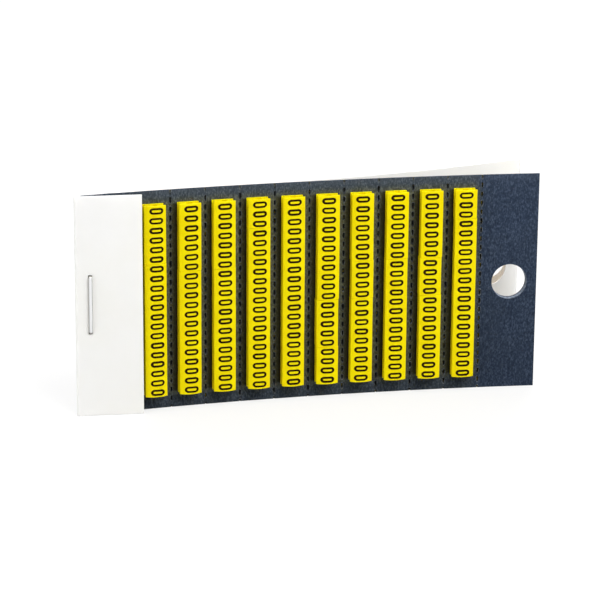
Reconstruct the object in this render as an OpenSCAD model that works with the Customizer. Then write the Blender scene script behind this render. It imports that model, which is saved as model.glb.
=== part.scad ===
// Booklet of clip-on cable markers: strips of printed markers on a perforated
// card, in a folded cover that one staple holds. It stands on its long edges,
// with the cover's front panel tucked behind the card.
// Plan of the card: +X runs right along it, -Y is its front, +Z is up.
// The origin is the middle of the hang hole, halfway through the card.

/* [Card] */
// Length along the card's bow, from the cover's left fold to the card's right edge
card_l = 100.2; // [90:0.1:130]
// From the left fold to the card's left edge
card_in = 1; // [0.5:0.1:1.5]
// Height of the card and of the cover
card_h = 47.75; // [46:0.25:60]
// Thickness of the card
card_t = 0.4; // [0.3:0.05:0.6]
// Radius of the card's bow, hollow to the front
card_bow_r = 469; // [350:1:900]

/* [Hang hole] */
// Radius of the punched hang hole
hang_r = 3.85; // [2.5:0.05:4.5]
// From the card's right edge to the middle of the hang hole
hang_inset = 6; // [5.5:0.05:7]
// From the cover's creases to the middle of its own hang holes
cover_hang_inset = 6.6; // [6:0.1:9]

/* [Marker strips] */
// Number of strips on the card
strip_count = 10; // [2:1:10]
// From the left fold to the middle of the first strip
strip_first = 16.3; // [16.3:0.1:17.5]
// Distance between strips
strip_pitch = 7.52; // [6.2:0.01:7.6]
// How far the strips sit above the card's middle
strip_rise = 0.3; // [-1:0.1:1]
// Markers in one strip
marker_count = 20; // [5:1:20]
// Length of one marker along its strip
marker_l = 2.086; // [1.8:0.002:2.2]
// Width of a marker's printed face
marker_w = 4.75; // [4.4:0.05:5.2]
// Depth of a marker, from the card to the top of its crown
marker_d = 2.6; // [2.5:0.05:3.2]
// Height of the crown on the printed face
marker_crown = 0.65; // [0.4:0.05:0.8]
// Thickness of the printed face at its two edges
face_edge_t = 0.45; // [0.3:0.05:0.6]
// Thickness of the leg that lies on the card
leg_t = 0.45; // [0.3:0.05:0.6]
// How far the leg stops short of the printed face, on the open side
leg_short = 0.15; // [0:0.05:0.5]
// Radius of the wire seat
wire_r = 0.8; // [0.5:0.05:0.85]
// Width of the slot through which the wire snaps in
snap_w = 0.8; // [0.4:0.05:0.95]
// Thickness of the jaws beside the wire seat, on the open side
jaw_t = 0.45; // [0.3:0.05:0.8]
// Undercut between the printed face and the leg, on the closed side
undercut = 0.32; // [0.1:0.02:0.5]
// Width of the score between two markers
score_w = 0.08; // [0.04:0.01:0.15]
// Depth of the score between two markers
score_d = 0.15; // [0.05:0.01:0.3]

/* [Perforation] */
// Distance between the cuts of a tear line
perf_pitch = 1.98; // [1.6:0.02:3]
// Length of one cut
perf_cut = 1; // [0.6:0.05:1.2]
// Width of one cut
perf_w = 0.3; // [0.15:0.01:0.4]

/* [Cover] */
// Thickness of the cover
cover_t = 0.28; // [0.2:0.01:0.35]
// Length of the stapled front flap, from the left fold
flap_l = 13.6; // [10:0.1:13.6]
// How far the flap stands open, from the card's left end
flap_open = 10.4; // [5:0.1:15]
// How far the cover stands open at rest, from the card
cover_open = 12.5; // [10:0.5:20]
// How far the back panel reaches past the card's right edge
back_over = 2.7; // [2:0.1:6]
// Radius of the back panel's bow
back_bow_r = 340; // [280:5:900]
// From the left fold to the free edge of the front panel
front_edge = 8.5; // [8.5:0.1:12]
// From the left fold to where the front panel lifts off the card
lift_s = 37.5; // [30:0.5:45]
// Radius of the front panel's bow past that place
front_bow_r = 225; // [200:5:400]
// How far the front panel reaches past the card's right edge
front_over = 0.6; // [0:0.1:3]

/* [Staple] */
// Length of the staple's crown
staple_l = 12.8; // [10:0.1:14]
// Width of the staple's wire
wire_w = 0.8; // [0.4:0.05:0.9]
// Thickness of the staple's wire
wire_t = 0.45; // [0.3:0.05:0.5]
// Length of each clinched leg
clinch_l = 4.8; // [3:0.1:4.9]
// From the left fold to the staple
staple_s = 2.65; // [2:0.05:3.2]
// Height of the staple's middle above the card's lower edge
staple_z = 24.4; // [16:0.1:30]

/* [Clearances] */
// Gap between the card and the stapled ends of the cover
stack_gap = 0.05; // [0.03:0.01:0.1]
// Gap between the card and the front panel, which moves
panel_gap = 0.2; // [0.15:0.01:0.4]
// Gap between the card and a strip
seat_gap = 0.01; // [0.008:0.001:0.02]
// Gap between the cover's two ends at the hinge line
hinge_gap = 0.03; // [0.02:0.01:0.1]
// From the staple's wire to the hinge line
hinge_clear = 1.6; // [1.4:0.1:2.5]
// Gap round the staple's wire
staple_gap = 0.02; // [0.01:0.01:0.1]

/* [Hidden] */
$fn = 96;
bow_fn = 1440;
eps = 1;
card_color = "#333e52";
marker_color = "#f7e200";
cover_color = "#f4f2ee";
staple_color = "#b9bcc0";

// Lines of the fold in the stapled stack, as offsets from the card's middle
stack_in = card_t / 2 + stack_gap;
stack_out = stack_in + cover_t;
hinge_s = staple_s + wire_w / 2 + hinge_clear;
panel_mid = card_t / 2 + panel_gap + cover_t / 2;
bead_r = cover_t * 0.6;

strip_l = marker_count * marker_l;
strip_z = (card_h - strip_l) / 2 + strip_rise;
perf_count = floor(card_h / perf_pitch) + 1;
perf_z = (card_h - (perf_count - 1) * perf_pitch - perf_cut) / 2;
crown_r = (pow(marker_w / 2, 2) + pow(marker_crown, 2)) / (2 * marker_crown);
face_back = marker_d - marker_crown - face_edge_t;
seat_d = leg_t + wire_r;
hang_s = card_l - hang_inset;
hang_z = card_h / 2;

// Where things lie, seen in plan
function bow_angle(s) = (s - card_l / 2) * 180 / (PI * card_bow_r);
function turned(p, a) = [p.x * cos(a) - p.y * sin(a), p.x * sin(a) + p.y * cos(a)];
function card_point(s, v = 0) = let (r = card_bow_r + v, a = bow_angle(s))
    [r * sin(a), r * cos(a) - card_bow_r];
function strip_s(i) = strip_first + i * strip_pitch;
function strip_name(i) = str("marker_strip_", i < 9 ? "0" : "", i + 1);

// The back panel leaves the hinge line on a bow that turns right
hinge_point = card_point(hinge_s, stack_out);
hinge_turn = cover_open - bow_angle(hinge_s);
back_l = card_l + back_over - hinge_s;
back_turn = back_l * 180 / (PI * back_bow_r);
back_end = [hinge_gap + back_bow_r * sin(back_turn),
            back_bow_r * (cos(back_turn) - 1) - cover_t / 2];
far_crease = hinge_point + turned(back_end, hinge_turn);

// The front panel leaves the card's back on a bow that turns left
lift_l = card_l + front_over - lift_s;
lift_turn = lift_l * 180 / (PI * front_bow_r);
lift_end = [front_bow_r * sin(lift_turn), front_bow_r * (1 - cos(lift_turn))];
near_crease = card_point(lift_s, panel_mid) + turned(lift_end, -bow_angle(lift_s));

// The spine runs between the two creases
spine = far_crease - near_crease;
spine_l = norm(spine);
spine_turn = atan2(spine.y, spine.x);

origin = concat(card_point(hang_s), [hang_z]);

// Moves the plan of the card so that the hang hole is the origin
module in_frame() {
    translate(-origin) children();
}

// Places a piece on the card's middle face, a length s from the left fold:
// +X runs right along the card there and +Y to its back
module on_card(s) {
    translate([0, -card_bow_r, 0])
        rotate([0, 0, -bow_angle(s)])
            translate([0, card_bow_r, 0]) children();
}

// Places a piece round the left fold, with +X along the flap
module on_flap() {
    on_card(0) rotate([0, 0, -flap_open]) children();
}

// Trims a sheet, or sheets folded from one board, to the card's height
module trimmed() {
    intersection() {
        children();
        translate([-card_l, -card_l, 0]) cube([2 * card_l, 2 * card_l, card_h]);
    }
}

// Sheet bent round the Z axis, from angle a0 through turn, and over high for trimming
module bent_sheet(r, t, a0, turn) {
    rotate([0, 0, a0])
        rotate_extrude(angle = turn, $fn = bow_fn)
            translate([r - t / 2, -eps]) square([t, card_h + 2 * eps]);
}

// Flat sheet along +X, over high for trimming
module flat_sheet(l) {
    translate([0, -cover_t / 2, -eps]) cube([l, cover_t, card_h + 2 * eps]);
}

// Sheet that follows the card from s0 to s1, with its middle at offset v
module card_sheet(s0, s1, v, t) {
    translate([0, -card_bow_r, 0])
        bent_sheet(card_bow_r + v, t, 90 - bow_angle(s1), bow_angle(s1) - bow_angle(s0));
}

// Slight swelling of the board along a crease, or where one bend runs on into the next
module crease(p = [0, 0]) {
    translate(concat(p, [-eps])) cylinder(h = card_h + 2 * eps, r = bead_r);
}

// Cutter for a hang hole, along Y
module hang_cut() {
    rotate([90, 0, 0]) cylinder(h = 2 * eps, r = hang_r, center = true);
}

// Cutters for the two legs of the staple
module staple_leg_cuts() {
    leg_z = staple_l / 2 - wire_t / 2;
    cut = [wire_w + 2 * staple_gap, 4 * eps, wire_t + 2 * staple_gap];
    on_flap()
        for (side = [-1, 1])
            translate([staple_s, 0, staple_z + side * leg_z]) cube(cut, center = true);
}

// Cutters for the tear line to the right of strip i, which runs out at both edges of the card
module tear_line_cuts(i) {
    on_card(strip_s(i) + strip_pitch / 2)
        for (j = [0 : perf_count - 1])
            translate([-perf_w / 2, -eps, perf_z + j * perf_pitch])
                cube([perf_w, 2 * eps, perf_cut]);
}

module marker_card() {
    color(card_color) in_frame() difference() {
        trimmed() card_sheet(card_in, card_l, 0, card_t);
        on_card(hang_s) translate([0, 0, hang_z]) hang_cut();
        for (i = [0 : strip_count - 1]) tear_line_cuts(i);
        staple_leg_cuts();
    }
}

// Flap, left fold and stapled back edge, folded from one board
module cover_flap() {
    stack_mid = (stack_in + stack_out) / 2;
    color(cover_color) in_frame() difference() {
        trimmed() {
            card_sheet(0, hinge_s, stack_mid, cover_t);
            on_card(0) {
                crease([0, stack_mid]);
                bent_sheet(stack_mid, cover_t, 90, 180 - flap_open);
            }
            on_flap() translate([0, -stack_mid, 0]) {
                crease();
                flat_sheet(flap_l);
            }
        }
        staple_leg_cuts();
    }
}

module back_panel() {
    hang_turn = cover_hang_inset * 180 / (PI * back_bow_r);
    translate(hinge_point) rotate([0, 0, hinge_turn])
        translate([hinge_gap, -back_bow_r - cover_t / 2, 0]) difference() {
            bent_sheet(back_bow_r, cover_t, 90 - back_turn, back_turn);
            rotate([0, 0, hang_turn - back_turn])
                translate([0, back_bow_r, hang_z]) hang_cut();
        }
}

module front_panel() {
    hang_turn = cover_hang_inset * 180 / (PI * front_bow_r);
    card_sheet(front_edge, lift_s, panel_mid, cover_t);
    on_card(lift_s) crease([0, panel_mid]);
    on_card(lift_s)
        translate([0, panel_mid + front_bow_r, 0]) difference() {
            bent_sheet(front_bow_r, cover_t, -90, lift_turn);
            rotate([0, 0, lift_turn - hang_turn])
                translate([0, -front_bow_r, hang_z]) hang_cut();
        }
}

// Back panel, spine and front panel, folded from one board
module cover() {
    color(cover_color) in_frame() trimmed() {
        back_panel();
        crease(far_crease);
        translate(near_crease) rotate([0, 0, spine_turn]) flat_sheet(spine_l);
        crease(near_crease);
        front_panel();
    }
}

module rounded_bar(size, r) {
    square([size.x - 2 * r, size.y], center = true);
    square([size.x, size.y - 2 * r], center = true);
    for (sx = [-1, 1], sy = [-1, 1])
        translate([sx * (size.x / 2 - r), sy * (size.y / 2 - r)]) circle(r);
}

// Crown on the flap, and legs that reach through to the slanting back of the stack
module staple() {
    front = stack_out + staple_gap;
    back = (staple_s + wire_w / 2) * tan(flap_open) + stack_out / cos(flap_open) + staple_gap;
    inside = [front + back, staple_l - 2 * wire_t];
    outside = inside + 2 * [wire_t, wire_t];
    tip_gap = staple_l - 2 * clinch_l;
    color(staple_color) in_frame() on_flap() translate([staple_s, (back - front) / 2, staple_z])
        rotate([90, 0, 90])
            linear_extrude(wire_w, center = true) difference() {
                rounded_bar(outside, wire_t);
                square(inside, center = true);
                translate([0, -tip_gap / 2]) square([outside.x, tip_gap]);
            }
}

// Section of a marker: its back lies on the X axis and its print faces -Y
module marker_section() {
    leg_w = marker_w - leg_short;
    spine_w = marker_w / 2 - undercut;
    difference() {
        union() {
            translate([-marker_w / 2, -leg_t]) square([leg_w, leg_t]);
            translate([-spine_w, -marker_d + marker_crown])
                square([spine_w + wire_r + jaw_t, marker_d - marker_crown]);
            intersection() {
                translate([0, crown_r - marker_d]) circle(crown_r, $fn = 2 * $fn);
                translate([-marker_w / 2, -marker_d])
                    square([marker_w, marker_d - face_back]);
            }
        }
        translate([0, -seat_d]) circle(wire_r);
        translate([0, -seat_d - snap_w / 2]) square([marker_w, snap_w]);
    }
}

// Cutter for the score between two markers, as deep all over the crown
module score_cut() {
    linear_extrude(score_w, center = true) difference() {
        translate([-marker_w, -2 * marker_d])
            square([2 * marker_w, 2 * marker_d - face_back - face_edge_t / 2]);
        translate([0, crown_r - marker_d]) circle(crown_r - score_d, $fn = 2 * $fn);
    }
}

module marker_strip(i) {
    color(marker_color) in_frame() on_card(strip_s(i))
        translate([0, -card_t / 2 - seat_gap, strip_z]) difference() {
            linear_extrude(strip_l) marker_section();
            for (j = [1 : marker_count - 1])
                translate([0, 0, j * marker_l]) score_cut();
        }
}

marker_card();
cover_flap();
cover();
staple();
for (i = [0 : strip_count - 1])
    marker_strip(i);
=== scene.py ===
"""Looks of a booklet of clip-on cable markers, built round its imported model."""
import math
import random

import bmesh
import bpy
from mathutils import Matrix, Vector


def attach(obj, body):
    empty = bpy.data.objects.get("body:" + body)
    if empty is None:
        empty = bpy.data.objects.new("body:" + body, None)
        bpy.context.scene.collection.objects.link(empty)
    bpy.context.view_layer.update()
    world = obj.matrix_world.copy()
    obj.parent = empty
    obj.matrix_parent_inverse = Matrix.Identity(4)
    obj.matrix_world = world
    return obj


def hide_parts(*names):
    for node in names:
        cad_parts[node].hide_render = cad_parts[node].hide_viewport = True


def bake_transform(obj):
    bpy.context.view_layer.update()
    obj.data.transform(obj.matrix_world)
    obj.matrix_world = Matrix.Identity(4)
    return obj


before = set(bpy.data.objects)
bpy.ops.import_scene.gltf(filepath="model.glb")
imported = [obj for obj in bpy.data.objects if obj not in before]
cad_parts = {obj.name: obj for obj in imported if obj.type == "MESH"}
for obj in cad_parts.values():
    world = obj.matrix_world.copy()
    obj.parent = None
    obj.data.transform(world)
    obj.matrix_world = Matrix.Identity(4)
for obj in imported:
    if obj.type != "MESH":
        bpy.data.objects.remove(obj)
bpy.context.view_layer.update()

MM = 0.001
BOOKLET = "booklet"
SEED = 7

# Sizes of the part, in metres and radians
# Places along the card, and CARD_L to its right edge, count from the cover's left fold
CARD_L = 100.2 * MM
CARD_H = 47.75 * MM
CARD_T = 0.4 * MM
BOW_R = 469 * MM
HANG_R = 3.85 * MM
HANG_S = CARD_L - 6 * MM
COVER_HANG_INSET = 6.6 * MM
STRIP_COUNT = 10
STRIP_FIRST = 16.3 * MM
STRIP_PITCH = 7.52 * MM
STRIP_RISE = 0.3 * MM
MARKER_COUNT = 20
MARKER_L = 2.086 * MM
MARKER_W = 4.75 * MM
MARKER_D = 2.6 * MM
MARKER_CROWN = 0.65 * MM
FACE_EDGE_T = 0.45 * MM
LEG_T = 0.45 * MM
LEG_SHORT = 0.15 * MM
WIRE_R = 0.8 * MM
SNAP_W = 0.8 * MM
JAW_T = 0.45 * MM
UNDERCUT = 0.32 * MM
SEAT_GAP = 0.01 * MM
PERF_PITCH = 1.98 * MM
PERF_CUT = 1 * MM
PERF_W = 0.3 * MM
COVER_T = 0.28 * MM
STACK_GAP = 0.05 * MM
PANEL_GAP = 0.2 * MM
FLAP_OPEN = math.radians(10.4)
HINGE_S = 4.65 * MM
COVER_OPEN = math.radians(12.5)
BACK_L = CARD_L + 2.7 * MM - HINGE_S
BACK_BOW_R = 340 * MM
FRONT_EDGE = 8.5 * MM
LIFT_S = 37.5 * MM
LIFT_L = CARD_L + 0.6 * MM - LIFT_S
FRONT_BOW_R = 225 * MM
STAPLE_L = 12.8 * MM
STAPLE_S = 2.65 * MM
STAPLE_W = 0.8 * MM
STAPLE_T = 0.45 * MM
STAPLE_Z = 24.4 * MM - CARD_H / 2
STAPLE_GAP = 0.02 * MM
CLINCH_L = 4.8 * MM

CARD_TOP = CARD_H / 2
CROWN_R = ((MARKER_W / 2) ** 2 + MARKER_CROWN ** 2) / (2 * MARKER_CROWN)
STRIP_L = MARKER_COUNT * MARKER_L
STRIP_HALF = STRIP_L / 2
STRIP_FOOT = STRIP_RISE - STRIP_HALF
LAST_STRIP = STRIP_FIRST + (STRIP_COUNT - 1) * STRIP_PITCH
LAST_TEAR = STRIP_FIRST + (STRIP_COUNT - 0.5) * STRIP_PITCH
STACK_OUT = CARD_T / 2 + STACK_GAP + COVER_T
PANEL_MID = CARD_T / 2 + PANEL_GAP + COVER_T / 2


# Places on the bowed card, seen in plan

def bow_angle(s):
    """Turn of the card at a length s from the cover's left fold."""
    return (s - CARD_L / 2) / BOW_R


BOW_CENTRE = Vector((-BOW_R * math.sin(bow_angle(HANG_S)), -BOW_R * math.cos(bow_angle(HANG_S))))


def card_point(s, v=0.0):
    """Point in plan at a length s along the card, v behind its middle."""
    a = bow_angle(s)
    return BOW_CENTRE + (BOW_R + v) * Vector((math.sin(a), math.cos(a)))


def card_place(s, v, z):
    """Point at a length s along the card, v behind its middle and z up."""
    p = card_point(s, v)
    return Vector((p.x, p.y, z))


def on_card(s, v=0.0):
    """Matrix of a place on the card: x runs right along it, y to its back and z up."""
    return Matrix.Translation(card_place(s, v, 0)) @ Matrix.Rotation(-bow_angle(s), 4, "Z")


def on_strip(i):
    """Matrix of the seat of strip i, on the front of the card."""
    return on_card(STRIP_FIRST + i * STRIP_PITCH, -CARD_T / 2 - SEAT_GAP)


def on_flap():
    """Matrix of the flap: x runs along it from the left fold, y to its back and z up."""
    return on_card(0) @ Matrix.Rotation(-FLAP_OPEN, 4, "Z")


# Meshes and pieces

SHADE = "shade"


def join_rings(bm, rings):
    """Faces between each ring of points and the next."""
    for low, high in zip(rings, rings[1:]):
        for k in range(len(low)):
            bm.faces.new((low[k - 1], low[k], high[k], high[k - 1]))


def mesh_from(bm, name):
    """Mesh of a finished bmesh, with its faces turned outwards."""
    bmesh.ops.recalc_face_normals(bm, faces=bm.faces[:])
    mesh = bpy.data.meshes.new(name)
    bm.to_mesh(mesh)
    bm.free()
    return mesh


def smooth(mesh, sharp):
    """Smooth shading, but for the edges that turn by more than an angle."""
    mesh.shade_smooth()
    mesh.set_sharp_from_angle(angle=sharp)


def set_shade(mesh, values):
    """Gives each point of a mesh its shade, which the materials read."""
    layer = mesh.attributes.new(SHADE, "FLOAT", "POINT")
    layer.data.foreach_set("value", values)


def new_piece(name, mesh, material, body=BOOKLET):
    """Object of a finished mesh, riding on a body where one is given."""
    piece = bpy.data.objects.new(name, mesh)
    bpy.context.scene.collection.objects.link(piece)
    mesh.materials.append(material)
    if body:
        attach(piece, body)
    return piece


# Materials

NOISE_ROUGHNESS = 0.6
# Sockets of a Mix node that mixes colours
MIX_AMOUNT = 0
MIX_A = 6
MIX_B = 7
MIX_COLOUR = 2


def linear(r, g, b):
    """Colour for a shader from the 0 to 255 values of a screen colour."""
    def channel(c):
        c /= 255
        return c / 12.92 if c <= 0.04045 else ((c + 0.055) / 1.055) ** 2.4
    return (channel(r), channel(g), channel(b), 1.0)


class Shader:
    """A node material with one Principled shader, and short ways to add nodes to it."""

    def __init__(self, name, **sockets):
        self.material = bpy.data.materials.new(name)
        self.material.use_nodes = True
        self.tree = self.material.node_tree
        self.bsdf = self.tree.nodes["Principled BSDF"]
        for socket, value in sockets.items():
            self.into(socket.replace("_", " "), value)

    def node(self, kind, **values):
        """New node: values name its properties or its input sockets."""
        made = self.tree.nodes.new(kind)
        for key, value in values.items():
            if hasattr(made, key):
                setattr(made, key, value)
            else:
                self.put(value, made.inputs[key.replace("_", " ")])
        return made

    def put(self, value, socket):
        """Links an output to a socket, or sets the socket's own value."""
        if isinstance(value, bpy.types.NodeSocket):
            self.tree.links.new(value, socket)
        else:
            socket.default_value = value

    def into(self, name, value):
        """Links an output to a socket of the Principled shader, or sets it."""
        self.put(value, self.bsdf.inputs[name])

    def math(self, operation, a, b=0.0):
        """Result of one step of arithmetic."""
        made = self.node("ShaderNodeMath", operation=operation)
        self.put(a, made.inputs[0])
        self.put(b, made.inputs[1])
        return made.outputs[0]

    def noise(self, scale, detail, stretch=(1, 1, 1)):
        """Noise value in the object's own space, with its scale in features per metre."""
        place = self.node("ShaderNodeTexCoord").outputs["Object"]
        spread = self.node("ShaderNodeMapping", Vector=place, Scale=stretch)
        made = self.node("ShaderNodeTexNoise", Vector=spread.outputs[0], Scale=scale, Detail=detail,
                         Roughness=NOISE_ROUGHNESS)
        return made.outputs["Fac"]

    def ramp(self, value, places, tones):
        """Colours along a value, each tone at its place."""
        made = self.node("ShaderNodeValToRGB", Fac=value)
        points = made.color_ramp.elements
        while len(points) < len(places):
            points.new(0.5)
        for point, place, tone in zip(points, places, tones):
            point.position = place
            point.color = tone
        return made.outputs["Color"]

    def span(self, value, before, after):
        """Value mapped smoothly from the range before to the range after, and kept inside it."""
        made = self.node("ShaderNodeMapRange", interpolation_type="SMOOTHSTEP", Value=value)
        for place, number in enumerate((*before, *after), 1):
            made.inputs[place].default_value = number
        return made.outputs[0]

    def mix(self, amount, a, b):
        """Colour a where the amount is 0, and b where it is 1."""
        made = self.node("ShaderNodeMix", data_type="RGBA")
        self.put(amount, made.inputs[MIX_AMOUNT])
        self.put(a, made.inputs[MIX_A])
        self.put(b, made.inputs[MIX_B])
        return made.outputs[MIX_COLOUR]

    def shaded(self, light, dark):
        """Colour that runs from light to dark with the mesh's own shade value."""
        own = self.node("ShaderNodeAttribute", attribute_name=SHADE).outputs["Fac"]
        return self.mix(own, light, dark)

    def bump(self, height, distance, strength):
        """Fine relief of the surface."""
        made = self.node("ShaderNodeBump", Height=height, Distance=distance, Strength=strength)
        self.into("Normal", made.outputs[0])


CARD_TONES = (linear(31, 40, 56), linear(47, 58, 76), linear(73, 85, 105))
# Dust, tinted olive and lightened as painted yellow light bounced off the strips
DUST_AND_BOUNCE_TONES = (linear(69, 70, 54), linear(89, 91, 73), linear(119, 122, 103))
FIBRE_PLACES = (0.30, 0.50, 0.68)
CLOUD_TONE = linear(52, 60, 70)
FLECK_TONE = linear(92, 102, 117)
# Painted shade along the left side of each strip
SHADE_BESIDE_TONE = linear(42, 38, 0)
# Painted light at the card's upper edge, as lit from above
TOP_LIGHT_TONE = linear(140, 150, 165)
# Painted shade towards the card's foot
FOOT_SHADE_TONE = linear(6, 8, 12)

# Places of dust with painted bounce light on the card, and of painted shade beside the strips
DUST_END = card_point(LAST_TEAR).x
DUST_AND_BOUNCE_FADE = (DUST_END - 1.9 * MM, DUST_END + 0.3 * MM)
DUST_AND_BOUNCE_HEIGHT = (STRIP_HALF - 1 * MM, STRIP_HALF + 1.6 * MM)
GAP_FIRST = card_point(STRIP_FIRST + MARKER_W / 2).x
GAP_PITCH = (card_point(LAST_STRIP).x - card_point(STRIP_FIRST).x) / (STRIP_COUNT - 1)
SHADE_BESIDE_ACROSS = (0.06, 1 - MARKER_W / STRIP_PITCH)
SHADE_BESIDE_HEIGHT = (STRIP_HALF - 0.5 * MM, STRIP_HALF + 0.2 * MM)
TOP_LIGHT_HEIGHT = (CARD_TOP - 2.5 * MM, CARD_TOP)


def card_material():
    """Dark blue-grey card, mottled with paler fibres and flecks. Its front carries dust where the strips
    lie, tinted olive by painted yellow light bounced off them, and painted shade along their left sides. It
    has painted shade towards its foot and painted light at its upper edge, as lit from above."""
    s = Shader("dark_card", Roughness=0.9, Specular_IOR_Level=0.03)
    fibres = s.noise(scale=2200, detail=3, stretch=(1.4, 1, 0.75))
    specks = s.noise(scale=3600, detail=2)
    clouds = s.noise(scale=110, detail=3)
    base = s.ramp(fibres, FIBRE_PLACES, CARD_TONES)
    grey = s.mix(s.span(clouds, (0.35, 0.7), (0.0, 0.2)), base, CLOUD_TONE)
    flecked = s.mix(s.span(specks, (0.60, 0.72), (0.0, 0.35)), grey, FLECK_TONE)
    # Dust with painted yellow bounce light between the strips
    dust_and_bounce = s.ramp(fibres, FIBRE_PLACES, DUST_AND_BOUNCE_TONES)
    spot = s.node("ShaderNodeTexCoord")
    place = s.node("ShaderNodeSeparateXYZ", Vector=spot.outputs["Object"])
    facing = s.node("ShaderNodeSeparateXYZ", Vector=spot.outputs["Normal"])
    front = s.span(facing.outputs["Y"], (-0.3, 0.3), (1.0, 0.0))
    along = s.math("MULTIPLY", front, s.span(place.outputs["X"], DUST_AND_BOUNCE_FADE, (1.0, 0.0)))
    height = s.math("ABSOLUTE", s.math("SUBTRACT", place.outputs["Z"], STRIP_RISE))
    between = s.span(height, DUST_AND_BOUNCE_HEIGHT, (0.9, 0.2))
    # Painted shade along the left side of each strip, in the gaps
    past = s.math("DIVIDE", s.math("SUBTRACT", place.outputs["X"], GAP_FIRST), GAP_PITCH)
    shade_beside = s.span(s.math("FRACT", past), SHADE_BESIDE_ACROSS, (0.0, 0.97))
    beside = s.span(height, SHADE_BESIDE_HEIGHT, (1.0, 0.0))
    dust_bounce_and_shade = s.mix(beside, dust_and_bounce, s.mix(shade_beside, dust_and_bounce, SHADE_BESIDE_TONE))
    # Dust with painted bounce light and painted shade, laid where the strips lie
    patchy = s.mix(s.math("MULTIPLY", along, between), flecked, dust_bounce_and_shade)
    # Painted light at the upper edge, as lit from above
    top_lit = s.mix(s.span(place.outputs["Z"], TOP_LIGHT_HEIGHT, (0.0, 0.06)), patchy, TOP_LIGHT_TONE)
    # Painted shade, darker towards the foot
    foot_shade = s.span(place.outputs["Z"], (-CARD_TOP, CARD_TOP), (0.24, 0.0))
    s.into("Base Color", s.mix(foot_shade, top_lit, FOOT_SHADE_TONE))
    s.bump(fibres, distance=0.03 * MM, strength=0.6)
    return s.material


CLOUD_PLACES = (0.3, 0.7)
BOARD_TONES = (linear(251, 246, 239), linear(254, 250, 244))
PLASTIC_TONES = (linear(236, 215, 0), linear(244, 226, 0))


def board_material():
    """White folded board, very slightly warm, with a fine paper tooth, which lets some light through."""
    s = Shader("white_board", Roughness=0.62, Specular_IOR_Level=0.3,
               Subsurface_Weight=0.9, Subsurface_Scale=0.4 * MM, Subsurface_Radius=(1.0, 0.99, 0.97))
    clouds = s.noise(scale=60, detail=3)
    tooth = s.noise(scale=3000, detail=4)
    s.into("Base Color", s.ramp(clouds, CLOUD_PLACES, BOARD_TONES))
    s.bump(tooth, distance=0.012 * MM, strength=0.5)
    return s.material


def plastic_material():
    """Soft yellow plastic, satin, a little uneven in depth of colour."""
    s = Shader("yellow_plastic", Roughness=0.5, Specular_IOR_Level=0.07,
               Subsurface_Weight=0.3, Subsurface_Scale=0.5 * MM, Subsurface_Radius=(1.0, 0.75, 0.05))
    clouds = s.noise(scale=300, detail=3)
    grain = s.noise(scale=5000, detail=2)
    s.into("Base Color", s.ramp(clouds, CLOUD_PLACES, PLASTIC_TONES))
    s.bump(grain, distance=0.006 * MM, strength=0.5)
    return s.material


INK_PLACES = (0.35, 0.72)
INK_TONES = (linear(26, 13, 0), linear(50, 32, 1))


def ink_material():
    """Black-brown print, thinner and browner in places."""
    s = Shader("print_ink", Roughness=0.6, Specular_IOR_Level=0.06)
    patchy = s.noise(scale=2600, detail=3)
    s.into("Base Color", s.ramp(patchy, INK_PLACES, INK_TONES))
    s.bump(patchy, distance=0.005 * MM, strength=0.4)
    return s.material


STEEL_PLACES = (0.3, 0.7)
STEEL_TONES = (linear(232, 233, 235), linear(250, 250, 251))
STEEL_SHADE = linear(112, 110, 102)


def wire_material():
    """Bright flattened steel wire, drawn along its length, with painted shade at its sides and bends."""
    s = Shader("staple_wire", Metallic=1.0)
    drawn = s.noise(scale=2500, detail=3, stretch=(1, 1, 0.05))
    steel = s.ramp(drawn, STEEL_PLACES, STEEL_TONES)
    # Painted shade at the sides and bends
    s.into("Base Color", s.shaded(steel, STEEL_SHADE))
    s.into("Roughness", s.span(drawn, STEEL_PLACES, (0.3, 0.42)))
    s.bump(drawn, distance=0.004 * MM, strength=0.4)
    return s.material


FRAY_PLACES = (0.36, 0.52, 0.70)
# Darkest fibre tone, for painted shade and for dull rims
FRAY_DARK = linear(10, 10, 10)
CUT_TONES = (linear(50, 55, 58), linear(88, 94, 98), linear(126, 133, 140))
HOLE_TONES = (linear(100, 110, 126), linear(126, 136, 152), linear(154, 164, 180))


def torn_material(name, tones):
    """Frayed edges of cuts in the card: fibres in three tones, darker where the shade value says, which
    holds painted shade in the cuts and at the far end of the hang hole, and the rims' random dullness.
    """
    s = Shader(name, Roughness=0.95, Specular_IOR_Level=0.1)
    fray = s.noise(scale=1900, detail=3)
    s.into("Base Color", s.shaded(s.ramp(fray, FRAY_PLACES, tones), FRAY_DARK))
    s.bump(fray, distance=0.03 * MM, strength=0.7)
    return s.material


TONGUE_PLACES = (0.46, 0.58, 0.72)
# Near-black painted shade in the cuts, through to yellow dust
TONGUE_TONES = (linear(7, 7, 7), linear(20, 19, 7), linear(112, 98, 12))
TONGUE_FAINT = linear(88, 84, 60)
DUSTY_TEAR = (DUST_END - 1.6 * GAP_PITCH, DUST_END)
FAINT_HEIGHT = (CARD_TOP - 0.8 * PERF_PITCH, CARD_TOP - 0.5 * PERF_PITCH)


def tongue_material():
    """Bottom of the cuts of a tear line: nearly black as painted shade in the cuts, with yellow dust in
    places, most in the last line, and fainter at the card's upper edge."""
    s = Shader("deep_card", Roughness=0.95, Specular_IOR_Level=0.03)
    place = s.node("ShaderNodeSeparateXYZ", Vector=s.node("ShaderNodeTexCoord").outputs["Object"])
    more = s.span(place.outputs["X"], DUSTY_TEAR, (0.0, 0.15))
    dust = s.math("ADD", s.noise(scale=700, detail=2), more)
    faint = s.span(place.outputs["Z"], FAINT_HEIGHT, (0.0, 0.8))
    s.into("Base Color", s.mix(faint, s.ramp(dust, TONGUE_PLACES, TONGUE_TONES), TONGUE_FAINT))
    return s.material


# Outlines

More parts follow.
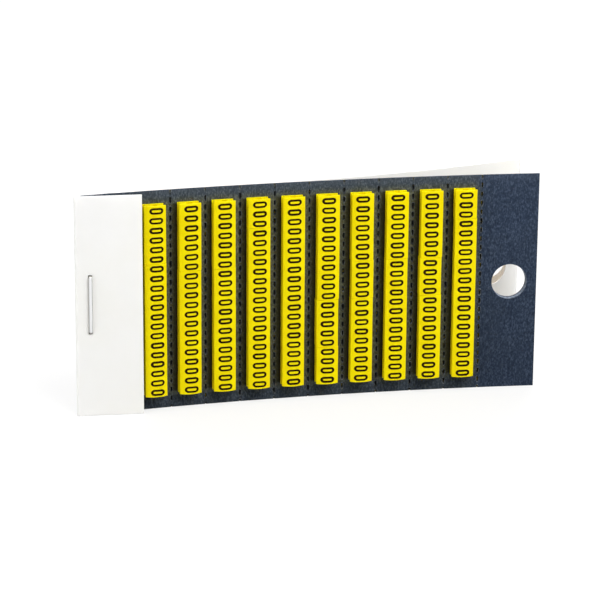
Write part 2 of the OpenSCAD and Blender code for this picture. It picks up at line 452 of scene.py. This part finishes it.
FLAT_CORNER = math.radians(150)
CORNER_SHARE = 0.45
CORNER_STEPS = 3
BEND_STEPS = 6
SIDE_PLACES = (0.25, 0.5, 0.75)


def arc(centre, r, start, end, count):
    """Points on an arc, both ends included."""
    turns = [start + (end - start) * k / (count - 1) for k in range(count)]
    return [Vector((centre[0] + r * math.cos(t), centre[1] + r * math.sin(t))) for t in turns]


def rounded_corners(points, r, steps=CORNER_STEPS):
    """Closed outline with each sharp corner turned into a short curve."""
    made = []
    count = len(points)
    for k, p in enumerate(points):
        back = points[k - 1] - p
        on = points[(k + 1) % count] - p
        if back.angle(on) > FLAT_CORNER:
            made.append(p)
            continue
        reach = min(r, back.length * CORNER_SHARE, on.length * CORNER_SHARE)
        a = p + back.normalized() * reach
        b = p + on.normalized() * reach
        for j in range(steps + 1):
            t = j / steps
            made.append(a * (1 - t) ** 2 + p * 2 * t * (1 - t) + b * t ** 2)
    return made


def rounded_bend(before, corner, after, r):
    """Round bend in place of a sharp corner."""
    a = (before - corner).normalized()
    b = (after - corner).normalized()
    half = a.angle(b) / 2
    reach = r / math.tan(half)
    start = corner + a * reach
    end = corner + b * reach
    centre = corner + (a + b).normalized() * (r / math.sin(half))
    first = start - centre
    sweep = first.angle_signed(end - centre)
    return [centre + Matrix.Rotation(-sweep * k / BEND_STEPS, 2) @ first for k in range(BEND_STEPS + 1)]


def stadium(w, h, steps, drawn=1.0):
    """Points round a bar with round or longer drawn ends, from its lower right, as many for any size."""
    reach = w / 2 - drawn * h / 2
    end = [Vector((p.x * drawn, p.y)) for p in arc((0, 0), h / 2, -math.pi / 2, math.pi / 2, steps)]
    right = [Vector((reach + p.x, p.y)) for p in end]
    left = [-p for p in right]
    across = [right[-1].lerp(left[0], t) for t in SIDE_PLACES]
    back = [left[-1].lerp(right[0], t) for t in SIDE_PLACES]
    return right + across + left + back


# Marker strips

MARKER_EDGE_R = 0.07 * MM
CROWN_STEPS = 17
SEAT_STEPS = 21


def marker_outline():
    """Section of a marker: x across it, y out from the card."""
    half = MARKER_W / 2
    seat = LEG_T + WIRE_R
    slot_half = SNAP_W / 2
    mouth = math.asin(slot_half / WIRE_R)
    face_back = MARKER_D - MARKER_CROWN - FACE_EDGE_T
    jaw_x = WIRE_R + JAW_T
    spine_x = half - UNDERCUT
    lean = math.asin(half / CROWN_R)
    outline = [Vector((-half, 0)), Vector((half - LEG_SHORT, 0)), Vector((half - LEG_SHORT, LEG_T)),
               Vector((jaw_x, LEG_T)), Vector((jaw_x, seat - slot_half))]
    outline += arc((0, seat), WIRE_R, -mouth, mouth - 2 * math.pi, SEAT_STEPS)
    outline += [Vector((half, seat + slot_half))]
    outline += arc((0, MARKER_D - CROWN_R), CROWN_R, math.pi / 2 - lean, math.pi / 2 + lean, CROWN_STEPS)
    outline += [Vector((-half, face_back)), Vector((-spine_x, face_back)), Vector((-spine_x, LEG_T)),
                Vector((-half, LEG_T))]
    return rounded_corners(outline, MARKER_EDGE_R)


OUTLINE = marker_outline()
SCORE_HALF = 0.03 * MM
SCORE_DEPTH = 0.035 * MM
OPEN_HALF = 0.055 * MM
OPEN_DEPTH = 0.16 * MM
OPEN_STEPS = (-0.07 * MM, -0.04 * MM, 0.05 * MM)
MARKER_JITTER = 0.01 * MM
END_ROUND = 0.05 * MM
MOULDED_SHARP = math.radians(40)
# Scores that have begun to open, by strip and counted down from its top
OPEN_SCORES = {1: (6,), 2: (7,), 3: (7,), 4: (3,), 6: (11, 16), 7: (7, 11), 8: (7,), 9: (7, 11), 10: (3,)}


def shrunk(outline, distance):
    """Outline moved inwards by a small distance."""
    made = []
    count = len(outline)
    for k, p in enumerate(outline):
        along = outline[(k + 1) % count] - outline[k - 1]
        inwards = Vector((-along.y, along.x)).normalized()
        made.append(p + inwards * distance)
    return made


def scored(outline, depth):
    """Outline at the bottom of a score: only the printed face is cut in."""
    low = MARKER_D - MARKER_CROWN - FACE_EDGE_T / 2
    centre = Vector((0, MARKER_D - CROWN_R))
    made = []
    for p in outline:
        inwards = centre - p
        on_face = p.y > low and abs(inwards.length - CROWN_R) < MARKER_EDGE_R
        made.append(p + inwards.normalized() * depth if on_face else p)
    return made


def is_open(i, j):
    """Whether the score above marker j of strip i has begun to open."""
    return MARKER_COUNT - 1 - j in OPEN_SCORES.get(i + 1, ())


def marker_shifts(i, rng):
    """Small sideways steps of the markers in a strip, which jump where a score has opened."""
    shift, made = 0.0, []
    for j in range(MARKER_COUNT):
        made.append(shift + rng.uniform(-MARKER_JITTER, MARKER_JITTER))
        if is_open(i, j):
            shift = rng.choice(OPEN_STEPS)
    return made


def strip_rings(i, shifts):
    """Sections along a strip, each with its height and sideways shift."""
    rings = [(STRIP_FOOT, shifts[0], shrunk(OUTLINE, END_ROUND))]
    below = END_ROUND
    for j, shift in enumerate(shifts):
        low = STRIP_FOOT + j * MARKER_L
        high = low + MARKER_L
        half, depth = (OPEN_HALF, OPEN_DEPTH) if is_open(i, j) else (SCORE_HALF, SCORE_DEPTH)
        if j == MARKER_COUNT - 1:
            half = END_ROUND
        rings += [(low + below, shift, OUTLINE), (high - half, shift, OUTLINE)]
        if j < MARKER_COUNT - 1:
            rings.append((high, (shift + shifts[j + 1]) / 2, scored(OUTLINE, depth)))
        below = half
    rings.append((STRIP_FOOT + STRIP_L, shifts[-1], shrunk(OUTLINE, END_ROUND)))
    return rings


def strip_piece(i, shifts, material):
    """One moulded strip, standing for its node."""
    place = on_strip(i)
    bm = bmesh.new()
    loops = []
    for z, shift, outline in strip_rings(i, shifts):
        loops.append([bm.verts.new(place @ Vector((p.x + shift, -p.y, z))) for p in outline])
    join_rings(bm, loops)
    for loop in (loops[0], loops[-1]):
        cap = bm.faces.new(loop)
        bmesh.ops.triangulate(bm, faces=[cap])
    name = f"strip_{i + 1:02d}"
    mesh = mesh_from(bm, name)
    smooth(mesh, MOULDED_SHARP)
    piece = new_piece(name, mesh, material)
    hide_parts(f"marker_strip_{i + 1:02d}")


# Printed noughts

NOUGHT_W = 3.1 * MM
NOUGHT_H = 1.38 * MM
NOUGHT_STROKE = 0.45 * MM
NOUGHT_END = 0.53 * MM
NOUGHT_DRAWN = 1.22
NOUGHT_STEPS = 14
# Middle of the print on each strip, across its face, in millimetres
NOUGHT_U = (0.21, 0.13, 0.0, 0.01, 0.01, -0.06, -0.12, -0.06, -0.15, -0.08)
PRINT_JITTER = 0.03 * MM
PRINT_LEAN = math.radians(1.2)
PRINT_WEIGHT = (0.92, 1.08)
INK_PROUD = 0.018 * MM
INK_SUNK = 0.03 * MM


def on_crown(p, lift):
    """Point of the print laid on the crowned face, as x across, y out and z up."""
    a = p.x / CROWN_R
    r = CROWN_R + lift
    return Vector((r * math.sin(a), MARKER_D - CROWN_R + r * math.cos(a), p.y))


def print_piece(i, shifts, material, rng):
    """The noughts of one strip, as thin ink on its crowned face."""
    place = on_strip(i)
    bm = bmesh.new()
    for j, shift in enumerate(shifts):
        z = STRIP_FOOT + (j + 0.5) * MARKER_L + rng.uniform(-PRINT_JITTER, PRINT_JITTER)
        u = NOUGHT_U[i] * MM + rng.uniform(-PRINT_JITTER, PRINT_JITTER)
        lean = Matrix.Rotation(rng.uniform(-PRINT_LEAN, PRINT_LEAN), 2)
        weight = 2 * rng.uniform(*PRINT_WEIGHT)
        inner_w = NOUGHT_W - weight * NOUGHT_END
        inner_h = NOUGHT_H - weight * NOUGHT_STROKE
        outer = [lean @ p for p in stadium(NOUGHT_W, NOUGHT_H, NOUGHT_STEPS, NOUGHT_DRAWN)]
        inner = [lean @ p for p in stadium(inner_w, inner_h, NOUGHT_STEPS, NOUGHT_DRAWN)]
        sides = ((outer, -INK_SUNK), (outer, INK_PROUD), (inner, INK_PROUD), (inner, -INK_SUNK))
        loops = []
        for outline, lift in sides:
            loop = []
            for p in outline:
                q = on_crown(p + Vector((u, 0)), lift)
                loop.append(bm.verts.new(place @ Vector((q.x + shift, -q.y, q.z + z))))
            loops.append(loop)
        join_rings(bm, loops + loops[:1])
    name = f"print_{i + 1:02d}"
    mesh = mesh_from(bm, name)
    smooth(mesh, MOULDED_SHARP)
    new_piece(name, mesh, material)


# Cover

HINGE = card_point(HINGE_S, STACK_OUT)
HINGE_TURN = COVER_OPEN - bow_angle(HINGE_S)
CREASE_R = 0.3 * MM
BACK_STEPS = 60
LIFT_STEPS = 40
LYING_STEPS = 16
HINGE_STEP = 0.15 * MM
HINGE_COLUMNS = 10
SHEET_ROWS = 7
PATCH = 5.5 * MM
PATCH_CELLS = 12
PATCH_GRID = [-PATCH + 2 * PATCH * k / PATCH_CELLS for k in range(PATCH_CELLS + 1)]
SAME_PLACE = 1e-6 * MM
LEAST_COLUMN = 1e-4 * MM
BOARD_SHARP = math.radians(50)


def cover_line():
    """Middle of the cover's board in plan, as two lines of points: the back panel from the hinge line to
    the far crease, and the front panel from the near crease to its free edge."""
    turn = Matrix.Rotation(HINGE_TURN, 2)
    back = []
    for k in range(BACK_STEPS + 1):
        b = BACK_L / BACK_BOW_R * k / BACK_STEPS
        p = Vector((BACK_BOW_R * math.sin(b), BACK_BOW_R * (math.cos(b) - 1) - COVER_T / 2))
        back.append(HINGE + turn @ p)
    lean = Matrix.Rotation(-bow_angle(LIFT_S), 2)
    front = []
    for k in range(LIFT_STEPS + 1):
        c = LIFT_L / FRONT_BOW_R * (1 - k / LIFT_STEPS)
        p = Vector((FRONT_BOW_R * math.sin(c), FRONT_BOW_R * (1 - math.cos(c))))
        front.append(card_point(LIFT_S, PANEL_MID) + lean @ p)
    for k in range(1, LYING_STEPS + 1):
        front.append(card_point(LIFT_S + (FRONT_EDGE - LIFT_S) * k / LYING_STEPS, PANEL_MID))
    return back, front


class Line:
    """A line of points in plan, which can be walked by length."""

    def __init__(self, points):
        self.points = points
        self.lengths = [0.0]
        for a, b in zip(points, points[1:]):
            self.lengths.append(self.lengths[-1] + (b - a).length)

    def at(self, length, z):
        """Point at a length along the line and z up."""
        k = 1
        while k < len(self.points) - 1 and self.lengths[k] < length:
            k += 1
        a, b = self.points[k - 1], self.points[k]
        p = a + (b - a).normalized() * (length - self.lengths[k - 1])
        return Vector((p.x, p.y, z))


def cover_columns(line, holes):
    """Lengths of the columns of the cover's mesh: close together at the hinge line, then at the points of
    the line, and on an even grid round each hole."""
    def off_grid(column, hole):
        past = min(abs(column - hole - p) for p in PATCH_GRID)
        return abs(column - hole) < PATCH and past > SAME_PLACE

    wanted = {k * HINGE_STEP for k in range(HINGE_COLUMNS + 1)} | set(line.lengths)
    wanted |= {hole + p for hole in holes for p in PATCH_GRID}
    columns = [c for c in sorted(wanted) if not any(off_grid(c, hole) for hole in holes)]
    return [c for k, c in enumerate(columns) if k == 0 or c - columns[k - 1] > LEAST_COLUMN]


def cover_mesh(line, holes):
    """Middle sheet of the cover, with its round hang holes."""
    columns = cover_columns(line, holes)
    outer_rows = [PATCH + (CARD_TOP - PATCH) * k / SHEET_ROWS for k in range(1, SHEET_ROWS + 1)]
    rows = [-z for z in reversed(outer_rows)] + PATCH_GRID + outer_rows
    bm = bmesh.new()
    grid = {}

    def vertex(c, r):
        if (c, r) not in grid:
            grid[c, r] = bm.verts.new(line.at(columns[c], rows[r]))
        return grid[c, r]

    def in_patch(c, r):
        length = (columns[c] + columns[c + 1]) / 2
        z = (rows[r] + rows[r + 1]) / 2
        return abs(z) < PATCH and any(abs(length - hole) < PATCH for hole in holes)

    for c in range(len(columns) - 1):
        for r in range(len(rows) - 1):
            if not in_patch(c, r):
                bm.faces.new((vertex(c, r), vertex(c + 1, r), vertex(c + 1, r + 1), vertex(c, r + 1)))
    low = len(outer_rows)
    high = low + PATCH_CELLS
    side = range(PATCH_CELLS)
    for hole in holes:
        first = min(range(len(columns)), key=lambda c: abs(columns[c] - hole + PATCH))
        last = first + PATCH_CELLS
        rim = [(first + k, low) for k in side] + [(last, low + k) for k in side]
        rim += [(last - k, high) for k in side] + [(first, high - k) for k in side]
        edge = []
        for c, r in rim:
            d = Vector((columns[c] - hole, rows[r])).normalized() * HANG_R
            edge.append(bm.verts.new(line.at(hole + d.x, d.y)))
        for k in range(len(rim)):
            bm.faces.new((vertex(*rim[k - 1]), vertex(*rim[k]), edge[k], edge[k - 1]))
    return mesh_from(bm, "cover_sheet")


def cover_sheet(material):
    """The cover as one folded board, turned at the hinge line."""
    back, front = cover_line()
    far, near = back[-1], front[0]
    far_fold = rounded_bend(back[-2], far, near, CREASE_R)
    near_fold = rounded_bend(far, near, front[1], CREASE_R)
    line = Line(back[:-1] + far_fold + near_fold + front[1:])
    far_middle = len(back) - 1 + BEND_STEPS // 2
    near_middle = far_middle + len(far_fold)
    holes = [line.lengths[far_middle] - COVER_HANG_INSET, line.lengths[near_middle] + COVER_HANG_INSET]
    piece = new_piece("cover_sheet", cover_mesh(line, holes), material, body=None)
    thick = piece.modifiers.new("board", "SOLIDIFY")
    thick.thickness = COVER_T
    thick.offset = 0
    thick.use_even_offset = True
    graph = bpy.context.evaluated_depsgraph_get()
    piece.data = bpy.data.meshes.new_from_object(piece.evaluated_get(graph))
    piece.modifiers.clear()
    smooth(piece.data, BOARD_SHARP)
    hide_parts("cover")
    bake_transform(piece)


# Staple

WIRE_ROUND = 0.2 * MM
WIRE_STEPS = 5
WIRE_SHARP = math.radians(50)
BEND_R = 0.44 * MM
# How fast painted shade darkens the wire with its bend, and the power by which it darkens towards its sides
BEND_SHADE = 4
SIDE_SHADE_POWER = 3


def staple_piece(material):
    """Flattened wire: crown on the flap, legs through the stack and clinched behind."""
    front = STACK_OUT + STAPLE_GAP + STAPLE_T / 2
    back = ((STAPLE_S + STAPLE_W / 2) * math.tan(FLAP_OPEN) + STACK_OUT / math.cos(FLAP_OPEN)
            + STAPLE_GAP + STAPLE_T / 2)
    half = STAPLE_L / 2 - STAPLE_T / 2
    tip = STAPLE_L / 2 - CLINCH_L
    corners = [Vector((back, tip)), Vector((back, half)), Vector((-front, half)), Vector((-front, -half)),
               Vector((back, -half)), Vector((back, -tip))]
    path = [corners[0]]
    for a, b, c in zip(corners, corners[1:], corners[2:]):
        path += rounded_bend(a, b, c, BEND_R)
    path.append(corners[-1])
    w, t = STAPLE_W / 2, STAPLE_T / 2
    bar = [Vector((-w, -t)), Vector((w, -t)), Vector((w, t)), Vector((-w, t))]
    section = rounded_corners(bar, WIRE_ROUND, WIRE_STEPS)
    place = on_flap() @ Matrix.Translation((STAPLE_S, 0, STAPLE_Z))
    bm = bmesh.new()
    loops, shades = [], []
    for k, p in enumerate(path):
        along = (path[min(k + 1, len(path) - 1)] - path[max(k - 1, 0)]).normalized()
        out = Vector((along.y, -along.x))
        ring = [Vector((q.x, p.x + out.x * q.y, p.y + out.y * q.y)) for q in section]
        loops.append([bm.verts.new(place @ q) for q in ring])
        # Painted shade: darker at the bends and towards the sides
        bent = BEND_SHADE * (1 - abs(along.y))
        shades += [min(1.0, bent + (2 * abs(q.x) / STAPLE_W) ** SIDE_SHADE_POWER) for q in section]
    join_rings(bm, loops)
    for loop in (loops[0], loops[-1]):
        bm.faces.new(loop)
    mesh = mesh_from(bm, "staple_wire")
    set_shade(mesh, shades)
    smooth(mesh, WIRE_SHARP)
    piece = new_piece("staple_wire", mesh, material)
    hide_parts("staple")


# Tear lines

PERF_COUNT = math.floor(CARD_H / PERF_PITCH) + 1
PERF_FIRST = -(PERF_COUNT - 1) * PERF_PITCH / 2
TONGUE_T = 0.06 * MM
TONGUE_BACK = 0.12 * MM
BURR_W = 0.2 * MM
BURR_H = 0.06 * MM
BURR_SUNK = 0.03 * MM
CUT_SHORT = 0.2 * MM
CUT_STEPS = 6
# Shares by which burrs differ in width, height and dullness, and the depth of shade of the topmost
BURR_WIDTHS = (0.6, 1.3)
BURR_HEIGHTS = (0.4, 1.3)
BURR_DULL = (0.0, 0.75)
TOP_DEPTH = 0.4
# Where a burr begins to be fuller below its cut, as a share of the cut, and by how much
FULL_FROM = 0.3
FULL_GROWTH = 2.5
INNER_RIM = 0.03 * MM


def on_board(z):
    """Height kept on the card."""
    return max(-CARD_TOP, min(CARD_TOP, z))


def tear_cuts():
    """Length along the card and height of the middle of each cut."""
    return [(STRIP_FIRST + (i + 0.5) * STRIP_PITCH, PERF_FIRST + j * PERF_PITCH)
            for i in range(STRIP_COUNT) for j in range(PERF_COUNT)]


def tongue_piece(material):
    """What the blade pushed back in each cut of the tear lines."""
    bm = bmesh.new()
    for s, z in tear_cuts():
        low, high = on_board(z - PERF_CUT / 2), on_board(z + PERF_CUT / 2)
        size = Matrix.Diagonal((PERF_W, TONGUE_T, high - low, 1))
        spot = Matrix.Translation((0, 0, (low + high) / 2))
        bmesh.ops.create_cube(bm, size=1, matrix=on_card(s, TONGUE_BACK) @ spot @ size)
    new_piece("tear_tongues", mesh_from(bm, "tear_tongues"), material)


def burr_piece(material, rng):
    """Frayed rim that the blade raised round each cut, fuller below it, and duller but in the last line."""
    face = -CARD_T / 2
    bm = bmesh.new()
    shades = []
    for s, z in tear_cuts():
        width = BURR_W * rng.uniform(*BURR_WIDTHS)
        height = BURR_H * rng.uniform(*BURR_HEIGHTS)
        dull = rng.uniform(*BURR_DULL) * (s < LAST_TEAR - STRIP_PITCH / 2)
        depth = TOP_DEPTH if z > CARD_TOP - PERF_CUT else 1.0
        # From the cut outwards: how far out, how far back and how dark; the dark inner rings are painted
        # shade in the cut
        rim = ((-0.01 * MM, face + BURR_SUNK * 2, 1.0),
               (0.02 * MM, face - height * 0.4, 0.9),
               (0.06 * MM, face - height, 0.8),
               (width * 0.75, face - height * 0.6, 0.0),
               (width, face + BURR_SUNK, 0.3))
        rings = []
        for grow, v, shade in rim:
            ring = []
            for p in stadium(PERF_CUT - CUT_SHORT + 2 * grow, PERF_W + 2 * grow, CUT_STEPS):
                fuller = max(0.0, -p.x / PERF_CUT - FULL_FROM) * FULL_GROWTH * (grow > INNER_RIM)
                ring.append(bm.verts.new(card_place(s + p.y, v, on_board(z + p.x * (1 + fuller)))))
                shades.append(max(shade, dull) * depth)
            rings.append(ring)
        join_rings(bm, rings)
    mesh = mesh_from(bm, "tear_burrs")
    set_shade(mesh, shades)
    mesh.shade_smooth()
    new_piece("tear_burrs", mesh, material)


# Edge of the hang hole

HOLE_STEPS = 72
# Places on the edge: out from the hole and back from the card's face, in millimetres, and how dark; the
# dark far end is painted shade
HOLE_EDGE = ((0.1, 0.02, 0.5), (0.04, -0.012, 0.25), (-0.01, 0.04, 0.0), (-0.05, 0.3, 0.0),
             (-0.09, 0.8, 0.0), (-0.1, 1.05, 0.05), (-0.1, 1.15, 0.9), (-0.1, 1.5, 1.0),
             (0.1, 1.52, 1.0), (0.14, 0.5, 0.8), (0.2, 0.38, 0.6))


def hole_piece(material):
    """Edge of the hang hole, which the punch drew through to the back of the card."""
    bm = bmesh.new()
    rings, shades = [], []
    for out, back, shade in HOLE_EDGE:
        r = HANG_R + out * MM
        v = back * MM - CARD_T / 2
        ring = []
        for k in range(HOLE_STEPS):
            a = 2 * math.pi * k / HOLE_STEPS
            ring.append(bm.verts.new(card_place(HANG_S + r * math.cos(a), v, r * math.sin(a))))
            shades.append(shade)
        rings.append(ring)
    join_rings(bm, rings)
    mesh = mesh_from(bm, "hole_edge")
    set_shade(mesh, shades)
    mesh.shade_smooth()
    new_piece("hole_edge", mesh, material)


# Camera, fitted to the photograph

CAMERA_AT = (-170.068 * MM, -535.675 * MM, 163.285 * MM)
CAMERA_AZIMUTH = math.radians(-13.007)
CAMERA_ELEVATION = math.radians(16.684)
CAMERA_ROLL = math.radians(0.428)
SENSOR = 36.0
FOCAL_PX = 2697.46
IMAGE_PX = 600
CLIP_NEAR = 0.01
CLIP_FAR = 50


def add_camera():
    """Camera at the photograph's place and angle."""
    data = bpy.data.cameras.new("camera")
    data.sensor_width = SENSOR
    data.lens = SENSOR * (FOCAL_PX / IMAGE_PX)
    data.clip_start = CLIP_NEAR
    data.clip_end = CLIP_FAR
    camera = bpy.data.objects.new("camera", data)
    a, e = CAMERA_AZIMUTH, CAMERA_ELEVATION
    look = Vector((-math.sin(a) * math.cos(e), math.cos(a) * math.cos(e), -math.sin(e)))
    right = Vector((math.cos(a), math.sin(a), 0))
    up = right.cross(look)
    c, s = math.cos(CAMERA_ROLL), math.sin(CAMERA_ROLL)
    right, up = c * right + s * up, -s * right + c * up
    turn = Matrix((right, up, -look)).transposed().to_4x4()
    camera.matrix_world = Matrix.Translation(CAMERA_AT) @ turn
    bpy.context.scene.collection.objects.link(camera)
    bpy.context.scene.camera = camera


# Floor and light

WHITE = (1, 1, 1, 1)
WORLD_LIGHT = 0.22
FLOOR_SIZE = 6.0
FLOOR_GLOW = 0.72
FLOOR_SEEN = (0.2, 0.2, 0.2, 1)
FLOOR_BOUNCE = (0.52, 0.52, 0.52, 1)
LOOK_AT = Vector((-42 * MM, 0, 0))
# Azimuth and elevation in degrees, distance and size in metres, and power in watts
LAMPS = {"key": (28, 50, 0.9, 0.6, 8.5),
         "back": (170, 42, 1.0, 0.8, 6.0),
         "top": (0, 88, 1.0, 1.0, 2.0),
         "side": (-82, 15, 1.0, 0.5, 4.0)}
# Enough for light to reach down between the cover's white panels
LIGHT_BOUNCES = 16


def seen_rays(tree):
    """1 for rays from the camera, or from gloss and glass, and 0 for the rest."""
    path = tree.nodes.new("ShaderNodeLightPath")
    total = path.outputs["Is Camera Ray"]
    for name in ("Is Glossy Ray", "Is Transmission Ray"):
        either = tree.nodes.new("ShaderNodeMath")
        either.operation = "MAXIMUM"
        tree.links.new(total, either.inputs[0])
        tree.links.new(path.outputs[name], either.inputs[1])
        total = either.outputs[0]
    return total


def add_world():
    """White all round as seen, and an even softer light on the object."""
    world = bpy.data.worlds.new("studio")
    world.use_nodes = True
    bpy.context.scene.world = world
    tree = world.node_tree
    light = tree.nodes["Background"]
    light.inputs["Color"].default_value = WHITE
    light.inputs["Strength"].default_value = WORLD_LIGHT
    white = tree.nodes.new("ShaderNodeBackground")
    white.inputs["Color"].default_value = WHITE
    white.inputs["Strength"].default_value = 1.0
    mix = tree.nodes.new("ShaderNodeMixShader")
    tree.links.new(seen_rays(tree), mix.inputs[0])
    tree.links.new(light.outputs[0], mix.inputs[1])
    tree.links.new(white.outputs[0], mix.inputs[2])
    tree.links.new(mix.outputs[0], tree.nodes["World Output"].inputs["Surface"])


def add_floor():
    """Pale floor that reads as white and keeps the object's shadow."""
    mesh = bpy.data.meshes.new("floor")
    h = FLOOR_SIZE / 2
    corners = [(x, y, -CARD_TOP) for x, y in ((-h, -h), (h, -h), (h, h), (-h, h))]
    mesh.from_pydata(corners, [], [(0, 1, 2, 3)])
    floor = bpy.data.objects.new("floor", mesh)
    bpy.context.scene.collection.objects.link(floor)
    s = Shader("floor", Roughness=0.9, Emission_Color=WHITE)
    seen = seen_rays(s.tree)
    s.into("Base Color", s.mix(seen, FLOOR_BOUNCE, FLOOR_SEEN))
    s.into("Emission Strength", s.math("MULTIPLY", seen, FLOOR_GLOW))
    mesh.materials.append(s.material)


def add_lamp(name, azimuth, elevation, distance, size, power):
    """Square soft lamp facing the object, placed as the views are: azimuth 0 is in front."""
    data = bpy.data.lights.new(name, "AREA")
    data.size = size
    data.energy = power
    lamp = bpy.data.objects.new(name, data)
    a, e = math.radians(azimuth), math.radians(elevation)
    back = Vector((math.sin(a) * math.cos(e), -math.cos(a) * math.cos(e), math.sin(e)))
    lamp.location = LOOK_AT + back * distance
    lamp.rotation_euler = (-back).to_track_quat("-Z", "Y").to_euler()
    bpy.context.scene.collection.objects.link(lamp)


# Scene

bpy.context.scene.view_settings.view_transform = "Standard"
bpy.context.scene.cycles.max_bounces = LIGHT_BOUNCES
bpy.context.scene.cycles.diffuse_bounces = LIGHT_BOUNCES
add_camera()
add_world()
add_floor()
for lamp_name, values in LAMPS.items():
    add_lamp(lamp_name, *values)

board = board_material()
plastic = plastic_material()
ink = ink_material()
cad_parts["marker_card"].data.materials[0] = card_material()
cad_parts["cover_flap"].data.materials[0] = board
cover_sheet(board)
staple_piece(wire_material())
tongue_piece(tongue_material())
rng = random.Random(SEED)
burr_piece(torn_material("frayed_cut", CUT_TONES), rng)
hole_piece(torn_material("frayed_hole", HOLE_TONES))
for i in range(STRIP_COUNT):
    shifts = marker_shifts(i, rng)
    strip_piece(i, shifts, plastic)
    print_piece(i, shifts, ink, rng)
